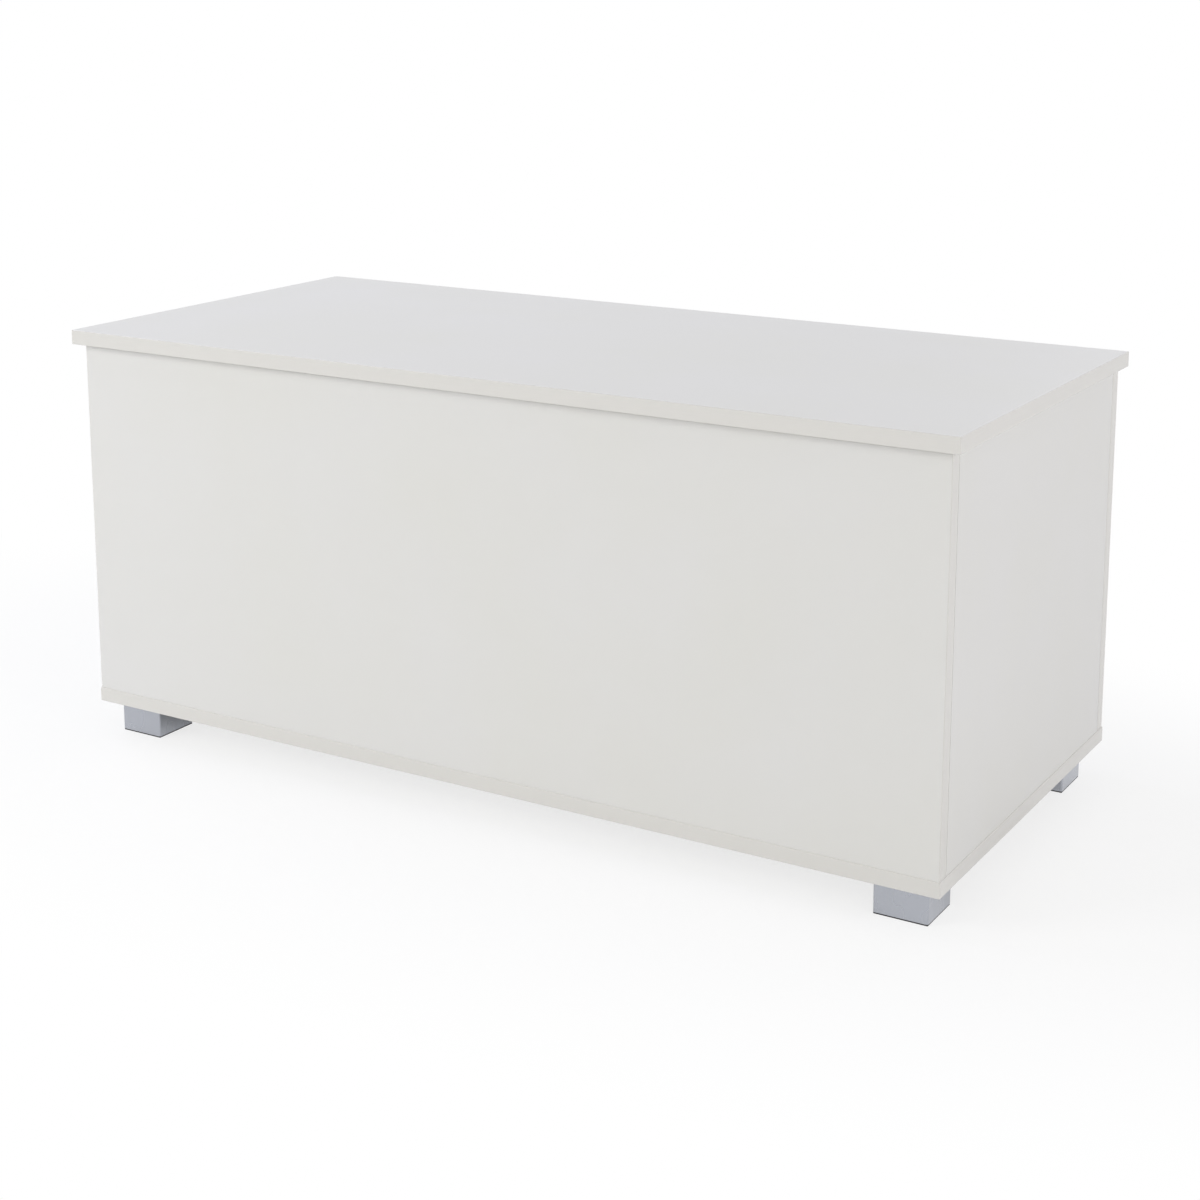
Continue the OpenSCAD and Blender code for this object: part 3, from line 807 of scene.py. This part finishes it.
@dataclass
class Dresser:
    """Makes pieces, gives them their finish and ties them to the bodies and solids of the model.

    Attributes:
        count: How many pieces and solids have their finish.
    """

    count: int = 0

    def finish(self, piece: bpy.types.Object, finish: Finish) -> None:
        """Gives a piece or a solid its finish and reports it.

        Args:
            piece: The object.
            finish: Its finish.
        """
        piece.data.materials.clear()
        piece.data.materials.append(finish.material())
        self.count += 1
        LOG.info("%s: %s, %d faces", piece.name, finish.title, len(piece.data.polygons))

    def solids(self, finish: Finish, *nodes: str) -> None:
        """Gives solids that keep their own shape a finish."""
        for node in nodes:
            self.finish(frame["nodes"][node], finish)

    def piece(self, name: str, surface: Surface, body: str, node: str, finish: Finish) -> None:
        """Makes a piece from a surface.

        Args:
            name: The piece's name.
            surface: Its surface, in place.
            body: The body that it moves with.
            node: The solid that it is shown in place of.
            finish: Its finish.
        """
        mesh = bpy.data.meshes.new(name)
        faces = [*surface.quads.tolist(), *(end.tolist() for end in surface.ends)]
        mesh.from_pydata(surface.points, [], faces)
        layer = mesh.uv_layers.new(name="run")
        flat = np.zeros((len(mesh.loops), 2), np.float32)
        flat[:surface.uvs.size // 2] = surface.uvs.reshape(-1, 2)
        layer.data.foreach_set("uv", flat.ravel())
        settle_mesh(mesh)
        self.place(mesh, body, node, finish)

    def softened(self, name: str, node: str, body: str, arris: float, finish: Finish,
                 within: tuple[np.ndarray, np.ndarray] | None = None) -> None:
        """Copies a solid, merges its loose triangles and rounds its arrises.

        Args:
            name: The new piece's name.
            node: The solid, which the piece is shown in place of.
            body: The body that it moves with.
            arris: The width of the rounding.
            finish: Its finish.
            within: Lowest and highest corner of the space whose edges alone are rounded, or None for all.
        """
        mesh = frame["nodes"][node].data.copy()
        mesh.name = name
        settle_mesh(mesh, flat=True)
        if within is not None:
            points = np.empty(3 * len(mesh.vertices), np.float32)
            mesh.vertices.foreach_get("co", points)
            points = points.reshape(-1, 3)
            inside = ((points > within[0]) & (points < within[1])).all(axis=1)
            ends = np.empty(2 * len(mesh.edges), np.int32)
            mesh.edges.foreach_get("vertices", ends)
            weight = mesh.attributes.new("bevel_weight_edge", "FLOAT", "EDGE")
            both = inside[ends.reshape(-1, 2)].all(axis=1)
            weight.data.foreach_set("value", both.astype(np.float32))
        self.place(mesh, body, node, finish, arris, "ANGLE" if within is None else "WEIGHT")

    def place(self, mesh: bpy.types.Mesh, body: str, node: str, finish: Finish, arris: float = 0.0,
              rounded: str = "ANGLE") -> None:
        """Puts a mesh into the scene as a piece, with even normals on its flats.

        Args:
            mesh: The mesh, which has the piece's name.
            body: The body that the piece moves with.
            node: The solid that it is shown in place of.
            finish: Its finish.
            arris: The width of its rounding, or 0 for none.
            rounded: Which edges are rounded, as the bevel modifier's limit method.
        """
        made = linked(mesh.name, mesh)
        if arris:
            bevel = made.modifiers.new("arris", "BEVEL")
            bevel.width, bevel.segments, bevel.limit_method = arris, ARRIS_STEPS, rounded
            bevel.angle_limit = SHARP_ANGLE
            bevel.use_clamp_overlap = False
        even = made.modifiers.new("even", "WEIGHTED_NORMAL")
        even.keep_sharp = True
        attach(made, body)
        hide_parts(node)
        self.finish(made, finish)


def extent(node: str) -> tuple[np.ndarray, np.ndarray]:
    """Gives the lowest and the highest corner of a solid as arrays."""
    low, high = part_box(node)
    return np.array(low), np.array(high)


def pivot(joint: str) -> np.ndarray:
    """Gives the place of a joint from the record."""
    return np.array(next(j["pos_m"] for j in frame["joints"] if j["name"] == joint))


# ---------- the box ----------


@dataclass
class EdgeBands:
    """The white edge bands: one round the lid, one round the base, and one on each wall's bare edges."""

    dresser: Dresser
    thickness: float = 0.8 * MM
    arris: float = 0.72 * MM
    glue_line: float = 0.05 * MM
    corner: float = 1.1 * MM
    corner_steps: int = 5

    def section(self, width: float) -> np.ndarray:
        """Gives a band's section: rounded outside, and with a hair of a groove at the glue line inside."""
        return filleted([(0, 0, self.arris), (0, width, self.arris),
                         (self.thickness, width, self.glue_line), (self.thickness, 0, self.glue_line)])

    def band(self, board: str) -> Surface:
        """Makes a band: a ring round the lid or base, an arch over a long wall, or a strip on an end wall.

        Args:
            board: The name of its board.

        Returns:
            The band, in place.
        """
        low, high = extent(f"{board}_edging")
        if board in ("lid", "base"):
            path = rectangle(high[0] - low[0], high[1] - low[1], self.corner, self.corner_steps)
            middle = (low + high) / 2
            return carried(self.section(high[2] - low[2]), path, True).moved((middle[0], middle[1], low[2]))
        if board in ("front_panel", "back_panel"):
            line = [(low[0], low[2], 0), (low[0], high[2], self.corner),
                    (high[0], high[2], self.corner), (high[0], low[2], 0)]
            path = filleted(line, self.corner_steps, closed=False)[::-1]
            arch = carried(self.section(high[1] - low[1]), path, False)
            return arch.axes((1, 0, 0), (0, 0, 1), (0, 1, 0)).moved((0, low[1], 0))
        path = np.array([(high[1], high[2]), (low[1], high[2])])
        strip = carried(self.section(high[0] - low[0]), path, False)
        return strip.axes((0, 1, 0), (0, 0, 1), (1, 0, 0)).moved((low[0], 0, 0))

    def build(self) -> None:
        """Makes the six bands."""
        for board in ("lid", "base", "front_panel", "back_panel", "left_side", "right_side"):
            body = "lid" if board == "lid" else "carcass"
            self.dresser.piece(f"{board}_edge_band", self.band(board), body, f"{board}_edging", AbsEdgeBand())


@dataclass
class Boards:
    """The lid, the base and the four walls, whose solids have the right shape with every bored hole."""

    dresser: Dresser
    nodes: tuple[str, ...] = ("lid_panel", "base_panel", "front_panel", "back_panel")
    rear_arris: float = 1.2 * MM
    reach: float = 0.3 * MM

    def build(self) -> None:
        """Gives the boards their facing, and breaks the rear outer arris of the end walls.

        That arris shows as a line beside the back's edge band.
        """
        facing = MelamineFacing()
        self.dresser.solids(facing, *self.nodes)
        for side in Side:
            node = f"{side.word}_side_panel"
            low, high = extent(node)
            outer = (low if side is Side.LEFT else high)[0]
            foot, top = np.array((outer, high[1], low[2])), np.array((outer, high[1], high[2]))
            self.dresser.softened(f"{side.word}_end_wall", node, "carcass", self.rear_arris, facing,
                                  (foot - self.reach, top + self.reach))


@dataclass
class Feet:
    """Four hollow square feet with a rubber pad each."""

    dresser: Dresser
    corner: float = 2 * MM
    hollow_corner: float = 1 * MM
    arris: float = 0.5 * MM
    wall: float = 3 * MM
    top: float = 4 * MM
    pad_corner: float = 0.8 * MM
    pad_arris: float = 0.2 * MM
    pad_step: float = 1 * MM
    boss: float = 5.5 * MM
    boss_bore: float = 4.2 * MM
    boss_height: float = 5 * MM
    screw_share: float = 0.22
    names: tuple[str, ...] = ("front_left", "front_right", "rear_left", "rear_right")

    def shell(self, node: str) -> Surface:
        """Makes a foot: outside, bottom rim and hollow as one profile, and a boss round each screw.

        Args:
            node: The foot's solid.

        Returns:
            The foot, in place.
        """
        low, high = extent(node)
        width, middle = high[0] - low[0], (low + high) / 2
        hollow = high[2] - self.top
        profile = [(self.wall, hollow, 0), (self.wall, low[2], self.arris), (0, low[2], self.arris),
                   (0, high[2], self.arris), (self.wall, high[2], 0)]
        body = ring_stack(width, high[1] - low[1], self.corner, profile, self.hollow_corner)
        reach = width * self.screw_share
        boss = pipe(self.boss, self.boss_bore, hollow - self.boss_height, hollow, self.arris)
        bosses = [boss.moved((sign * reach, sign * reach, 0)) for sign in (-1, 1)]
        return joined([body, *bosses]).moved((middle[0], middle[1], 0))

    def pad(self, node: str) -> Surface:
        """Makes the pad under a foot.

        Args:
            node: The pad's solid.

        Returns:
            The pad, in place.
        """
        low, high = extent(node)
        middle = (low + high) / 2
        profile = [(self.pad_step, low[2], 0), (0, low[2], self.pad_arris), (0, high[2], self.pad_arris),
                   (self.pad_step, high[2], 0)]
        pad = ring_stack(high[0] - low[0], high[1] - low[1], self.pad_corner, profile)
        return pad.moved((middle[0], middle[1], 0))

    def build(self) -> None:
        """Makes the feet and their pads, and finishes their screws and those of the base."""
        for name in self.names:
            foot, pad = f"{name}_foot", f"{name}_foot_pad"
            self.dresser.piece(f"{name}_square_foot", self.shell(foot), "carcass", foot, SilverLacqueredAbs())
            self.dresser.piece(f"{name}_rubber_pad", self.pad(pad), "carcass", pad, BlackRubber())
        self.dresser.solids(ZincPlatedSteel(), "foot_screws", "base_screws")


@dataclass
class Hinges:
    """Two flush hinges: a leaf on the back wall, a leaf round it on the lid, and the pin."""

    dresser: Dresser
    arris: float = 0.2 * MM
    pin_radius: float = 1.4 * MM
    head_radius: float = 2.4 * MM
    head_height: float = 0.7 * MM
    head_top_share: float = 0.8
    head_top_arris: float = 0.25 * MM
    head_rim_arris: float = 0.1 * MM
    pin_sides: int = 32

    def pin(self, side: Side) -> Surface:
        """Turns a pin with a low domed head at each end, along the hinge line.

        Args:
            side: The hinge's end of the box.

        Returns:
            The pin, in place.
        """
        low, high = extent(f"{side.word}_hinge_pin")
        middle, half = (low + high) / 2, (high[0] - low[0]) / 2
        neck, top = half - self.head_height, self.head_radius * self.head_top_share
        head = [(0, half, 0), (top, half, self.head_top_arris),
                (self.head_radius, neck, self.head_rim_arris), (self.pin_radius, neck, 0)]
        profile = [(r, -x, arris) for r, x, arris in head] + head[::-1]
        return turned(profile, self.pin_sides).axes((0, 1, 0), (0, 0, 1), (1, 0, 0)).moved(middle)

    def build(self) -> None:
        """Makes the leaves and the pins, and finishes their screws."""
        steel = NickelPlatedSteel()
        for side in Side:
            hinge = f"{side.word}_hinge"
            self.dresser.softened(f"{hinge}_lower_leaf", f"{hinge}_box_leaf", "carcass", self.arris, steel)
            self.dresser.softened(f"{hinge}_upper_leaf", f"{hinge}_lid_leaf", "lid", self.arris, steel)
            self.dresser.piece(f"{hinge}_rivet_pin", self.pin(side), "carcass", f"{hinge}_pin", steel)
        self.dresser.solids(ZincPlatedSteel(), "hinge_box_screws", "hinge_lid_screws")


@dataclass
class LidStays:
    """Two sliding lid stays: brackets, a tube that turns on the box and a rod that turns on the lid."""

    dresser: Dresser
    bracket_arris: float = 0.3 * MM
    tube_radius: float = 7.5 * MM
    tube_bore: float = 6 * MM
    tube_start: float = 16 * MM
    tube_short: float = 17 * MM
    tube_arris: float = 1.2 * MM
    tube_floor: float = 1.5 * MM
    floor_fillet: float = 0.5 * MM
    shoulder_arris: float = 0.8 * MM
    mouth_height: float = 1.2 * MM
    mouth_roll: float = 0.5 * MM
    mouth_arris: float = 0.3 * MM
    mouth_inner_arris: float = 0.2 * MM
    tube_sides: int = 48
    rod_radius: float = 3 * MM
    rod_start: float = 20.7 * MM
    rod_short: float = 14 * MM
    rod_arris: float = 0.4 * MM
    eye_radius: float = 7 * MM
    eye_bore: float = 4.05 * MM
    eye_width: float = 9 * MM
    eye_arris: float = 0.6 * MM
    neck_radius: float = 4.3 * MM
    neck_start: float = 5 * MM
    neck_arris: float = 0.3 * MM
    room: float = 0.05 * MM
    bush_room: float = 0.1 * MM
    bush_length: float = 9 * MM
    bush_arris: float = 0.2 * MM
    bush_mouth_arris: float = 0.3 * MM
    bush_lip: float = 1 * MM
    lip_arris: float = 0.4 * MM
    lip_rim_arris: float = 0.15 * MM
    piston_length: float = 9 * MM
    piston_floor: float = 2 * MM
    piston_arris: float = 0.4 * MM
    piston_mouth_arris: float = 0.3 * MM

    def eye(self, neck_to: float) -> Surface:
        """Makes an eye about X with a neck along Z.

        Args:
            neck_to: The height that the neck reaches, which is negative for one below the eye.

        Returns:
            The eye, with its centre at 0.
        """
        ring = pipe(self.eye_radius, self.eye_bore, -self.eye_width / 2, self.eye_width / 2, self.eye_arris)
        start, stop = sorted((math.copysign(self.neck_start, neck_to), neck_to))
        neck = bar(self.neck_radius, start, stop, self.neck_arris)
        return joined([ring.axes((0, 1, 0), (0, 0, 1), (1, 0, 0)), neck])

    def tube(self, length: float) -> Surface:
        """Turns the tube: a closed bottom, a straight wall, and a mouth rolled in a little round the bush.

        Args:
            length: The distance between the stay's pivots.

        Returns:
            The tube along Z.
        """
        outer, bore = self.tube_radius, self.tube_bore
        start, stop = self.tube_start, length - self.tube_short
        inner = start + self.tube_floor
        return turned([(0, start, 0), (outer, start, self.tube_arris),
                       (outer, stop - self.mouth_height, self.shoulder_arris),
                       (outer - self.mouth_roll, stop, self.mouth_arris),
                       (bore, stop, self.mouth_inner_arris), (bore, inner, self.floor_fillet),
                       (0, inner, 0)], self.tube_sides)

    def bush(self, length: float) -> Surface:
        """Turns the guide bush: a sleeve in the tube's mouth with a low lip on it.

        Args:
            length: The distance between the stay's pivots.

        Returns:
            The bush along Z.
        """
        bore, sleeve = self.rod_radius + self.bush_room, self.tube_bore - self.room
        stop = length - self.tube_short
        start, lip = stop - self.bush_length, stop + self.bush_lip
        rim = self.tube_radius
        return turned([(bore, start, self.bush_arris), (sleeve, start, self.bush_arris), (sleeve, stop, 0),
                       (rim, stop, self.lip_rim_arris), (rim - self.bush_lip, lip, self.lip_arris),
                       (bore, lip, self.bush_mouth_arris)], self.tube_sides, closed=True)

    def piston(self) -> Surface:
        """Turns the piston: a short cup on the rod's lower end.

        Returns:
            The piston along Z.
        """
        start = self.rod_start - self.piston_floor
        stop = start + self.piston_length
        outer, bore = self.tube_bore - self.room, self.rod_radius + self.room
        return turned([(0, start, 0), (outer, start, self.piston_arris), (outer, stop, self.piston_arris),
                       (bore, stop, self.piston_mouth_arris), (bore, self.rod_start, 0),
                       (0, self.rod_start, 0)])

    def build(self) -> None:
        """Makes both stays with their brackets, and finishes their screws.

        A stay's pieces are drawn along Z from its lower pivot, and laid on the line to its upper one.
        """
        bracket, nylon = NickelPlatedSteel("bracket_steel"), MouldedNylon()
        for side in Side:
            low, high = (pivot(f"{side.word}_{part}_pivot") for part in ("tube", "rod"))
            length = float(np.linalg.norm(high - low))
            run = (high - low) / length
            rod = bar(self.rod_radius, self.rod_start, length - self.rod_short, self.rod_arris)
            upper_eye = self.eye(-self.rod_short).moved((0, 0, length))
            for name, shape, moves_with, node, finish in (
                    ("damper_tube", self.tube(length), "tube", "stay_tube", BlackEnamel()),
                    ("lower_eye", self.eye(self.tube_start), "tube", "stay_tube_eye", nylon),
                    ("guide_bush", self.bush(length), "tube", "stay_gland", nylon),
                    ("sliding_rod", rod, "rod", "stay_rod", HardChrome()),
                    ("upper_eye", upper_eye, "rod", "stay_rod_eye", nylon),
                    ("piston_cup", self.piston(), "rod", "stay_piston", nylon)):
                laid = shape.axes((1, 0, 0), np.cross(run, (1, 0, 0)), run).moved(low)
                self.dresser.piece(f"{side.word}_{name}", laid, f"{side.word}_{moves_with}",
                                   f"{side.word}_{node}", finish)
            for name, node, body in (("wall_bracket", "stay_box_bracket", "carcass"),
                                     ("lid_bracket", "stay_lid_bracket", "lid")):
                self.dresser.softened(f"{side.word}_{name}", f"{side.word}_{node}", body, self.bracket_arris,
                                      bracket)
        self.dresser.solids(ZincPlatedSteel(), "stay_box_screws", "stay_lid_screws")


@dataclass
class Fittings:
    """The knock-down fittings: cams and bolts, their caps, the dowels, and the lid's bumpers."""

    dresser: Dresser
    cap_radius: float = 9 * MM
    cap_height: float = 0.8 * MM
    cap_slope: float = 0.6 * MM
    cap_arris: float = 0.6 * MM
    cap_edge: float = 0.15 * MM
    cap_edge_arris: float = 0.1 * MM
    dimple_radius: float = 2.2 * MM
    dimple_arris: float = 1 * MM
    dimple_share: float = 0.7
    bumper_radius: float = 4.5 * MM
    bumper_wall_share: float = 0.35
    bumper_bulge: float = 0.6
    bumper_sides: int = 32
    bumper_rings: int = 7
    bumper_share: float = 0.46

    def caps(self) -> Surface:
        """Turns a low domed cap with a shallow dimple, and sets one over each cam inside the end walls.

        Returns:
            The caps, in place.
        """
        radius, height = self.cap_radius, self.cap_height
        cap = turned([(0, height * self.dimple_share, 0), (self.dimple_radius, height, self.dimple_arris),
                      (radius - self.cap_slope, height, self.cap_arris),
                      (radius, self.cap_edge, self.cap_edge_arris), (radius, 0, 0), (0, 0, 0)])
        low, high = extent("cam_caps")
        faces = {Side.LEFT: extent("left_side_panel")[1][0], Side.RIGHT: extent("right_side_panel")[0][0]}
        return joined(cap.axes((0, 1, 0), (0, 0, 1), (-side.value, 0, 0)).moved((face, y, z))
                      for side, face in faces.items()
                      for y in (low[1] + radius, high[1] - radius)
                      for z in (low[2] + radius, high[2] - radius))

    def bumpers(self) -> Surface:
        """Turns a soft dome, and sets two on the front wall's rim and one on each end wall's.

        Over a quarter turn t, the dome's radius is its full one times a power of cos t, and its height rises
        from the top of a short upright wall to the full one with sin t.

        Returns:
            The bumpers, in place.
        """
        low, high = extent("lid_bumpers")
        height, radius = high[2] - low[2], self.bumper_radius
        turn = np.linspace(0, 1, self.bumper_rings)[:, None] * math.pi / 2
        rise = self.bumper_wall_share + (1 - self.bumper_wall_share) * np.sin(turn)
        dome = np.hstack([radius * np.cos(turn) ** self.bumper_bulge, height * rise])
        shape = lathed(np.vstack([[(0, 0), (radius, 0)], dome]), self.bumper_sides)
        front, end_x = low[1] + radius, high[0] - radius
        wall_low, wall_high = extent("front_panel_edging")
        near = self.bumper_share * (wall_high[0] - wall_low[0])
        return joined(shape.moved((x, y, low[2]))
                      for x, y in ((-near, front), (near, front), (-end_x, 0), (end_x, 0)))

    def build(self) -> None:
        """Makes the caps and bumpers, and finishes the fittings that the boards hide."""
        self.dresser.piece("cam_cover_caps", self.caps(), "carcass", "cam_caps", MouldedPolyethylene())
        self.dresser.piece("rim_bumpers", self.bumpers(), "carcass", "lid_bumpers", ClearPolyurethane())
        self.dresser.solids(DieCastZinc(), "cam_locks")
        self.dresser.solids(TurnedSteel(), "cam_bolts")
        self.dresser.solids(BeechDowel(), "wooden_dowels")


# ---------- the studio ----------


@dataclass(frozen=True)
class Lamp:
    """A soft box: where it stands, what it points at, its width and height, its power and its colour.

    One that isn't mirrored lights the pieces without leaving a bright patch in their gloss.
    """

    name: str
    place: Triple
    aim: Triple
    size: Pair
    watts: float
    colour: str = WHITE
    mirrored: bool = True

    def build(self) -> None:
        """Sets the lamp up."""
        data = bpy.data.lights.new(self.name, "AREA")
        data.shape, data.size, data.size_y = "RECTANGLE", *self.size
        data.energy, data.color = self.watts, linear(self.colour)[:3]
        lamp = linked(self.name, data)
        lamp.location = self.place
        lamp.visible_glossy = self.mirrored
        lamp.rotation_euler = (Vector(self.place) - Vector(self.aim)).to_track_quat("Z", "Y").to_euler()


@dataclass
class Studio:
    """White paper under and behind the box, soft lamps, and the camera."""

    paper_size: float = 40.0
    room_light: float = 0.45
    room_colour: str = "#FEFEFF"
    camera_place: Triple = (1.09943, -1.80720, 0.81847)
    azimuth: float = 30.957
    elevation: float = 11.011
    lens: float = 63.72
    sensor: float = 36.0
    shift: float = -0.19
    clip: Pair = (0.05, 200.0)
    lamps: tuple[Lamp, ...] = (
        Lamp("front_left_soft_box", (-2.3, -2.8, 2.0), (0, 0, 0.2), (1.6, 1.3), 49.0, "#FEFFFE", False),
        Lamp("front_soft_box", (0.3, -3.4, 1.0), (0, 0, 0.2), (2.4, 1.6), 6.3, "#FFFBE1", False),
        Lamp("left_soft_box", (-2.3, 0.0, 2.7), (0, 0, 0.3), (2.0, 1.8), 26.2, "#E3E8FF"),
        Lamp("right_soft_box", (3.2, -0.8, 1.4), (0, 0, 0.2), (2.0, 1.8), 27.0, "#FFFDFD", False),
        Lamp("rear_soft_box", (0.6, 2.8, 2.2), (0, 0, 0.3), (2.4, 1.6), 12.4, "#EFF1FF"),
    )

    def paper(self) -> None:
        """Lays the paper: one quad on the floor, wide enough to fill every view."""
        half = self.paper_size / 2
        mesh = bpy.data.meshes.new("white_paper")
        corners = [(-half, -half, 0), (half, -half, 0), (half, half, 0), (-half, half, 0)]
        mesh.from_pydata(corners, [], [(0, 1, 2, 3)])
        mesh.materials.append(StudioPaper().material())
        linked("white_paper", mesh)

    def room(self) -> None:
        """Fills the room with even light, and shows plain white where it is seen or mirrored."""
        world = bpy.data.worlds.new("white_room")
        world.use_nodes = True
        tree = world.node_tree
        tree.nodes.clear()
        rays = add(tree, "ShaderNodeLightPath").outputs
        bent = add(tree, "ShaderNodeMath", operation="MAXIMUM",
                   inputs={0: rays["Is Glossy Ray"], 1: rays["Is Transmission Ray"]}).outputs[0]
        shown = add(tree, "ShaderNodeMath", operation="MAXIMUM",
                    inputs={0: rays["Is Camera Ray"], 1: bent}).outputs[0]
        light = {"Color": linear(self.room_colour), "Strength": self.room_light}
        even = add(tree, "ShaderNodeBackground", light)
        white = add(tree, "ShaderNodeBackground", {"Color": linear(WHITE), "Strength": 1.0})
        both = add(tree, "ShaderNodeMixShader", {0: shown, 1: even.outputs[0], 2: white.outputs[0]})
        add(tree, "ShaderNodeOutputWorld", {"Surface": both.outputs[0]})
        bpy.context.scene.world = world

    def camera(self) -> None:
        """Sets up the camera from its place, its two angles, its lens and its vertical shift."""
        data = bpy.data.cameras.new("camera")
        data.lens, data.sensor_width, data.shift_y = self.lens, self.sensor, self.shift
        data.clip_start, data.clip_end = self.clip
        camera = linked("camera", data)
        a, e = math.radians(self.azimuth), math.radians(self.elevation)
        back = Vector((math.sin(a) * math.cos(e), -math.cos(a) * math.cos(e), math.sin(e)))
        camera.location = self.camera_place
        camera.rotation_euler = (-back).to_track_quat("-Z", "Y").to_euler()
        bpy.context.scene.camera = camera

    def build(self) -> None:
        """Sets up the whole studio."""
        self.paper()
        self.room()
        for lamp in self.lamps:
            lamp.build()
        self.camera()
        bpy.context.scene.view_settings.view_transform = "Standard"
        LOG.info("studio: %d lamps", len(self.lamps))


def main() -> None:
    """Builds the studio and every sub-assembly."""
    logging.basicConfig(level=logging.INFO, format="%(message)s", stream=sys.stdout)
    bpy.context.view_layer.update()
    dresser = Dresser()
    Studio().build()
    for assembly in (Boards, EdgeBands, Feet, Hinges, LidStays, Fittings):
        assembly(dresser).build()
    LOG.info("%d pieces dressed", dresser.count)


if __name__ == "__main__":
    main()
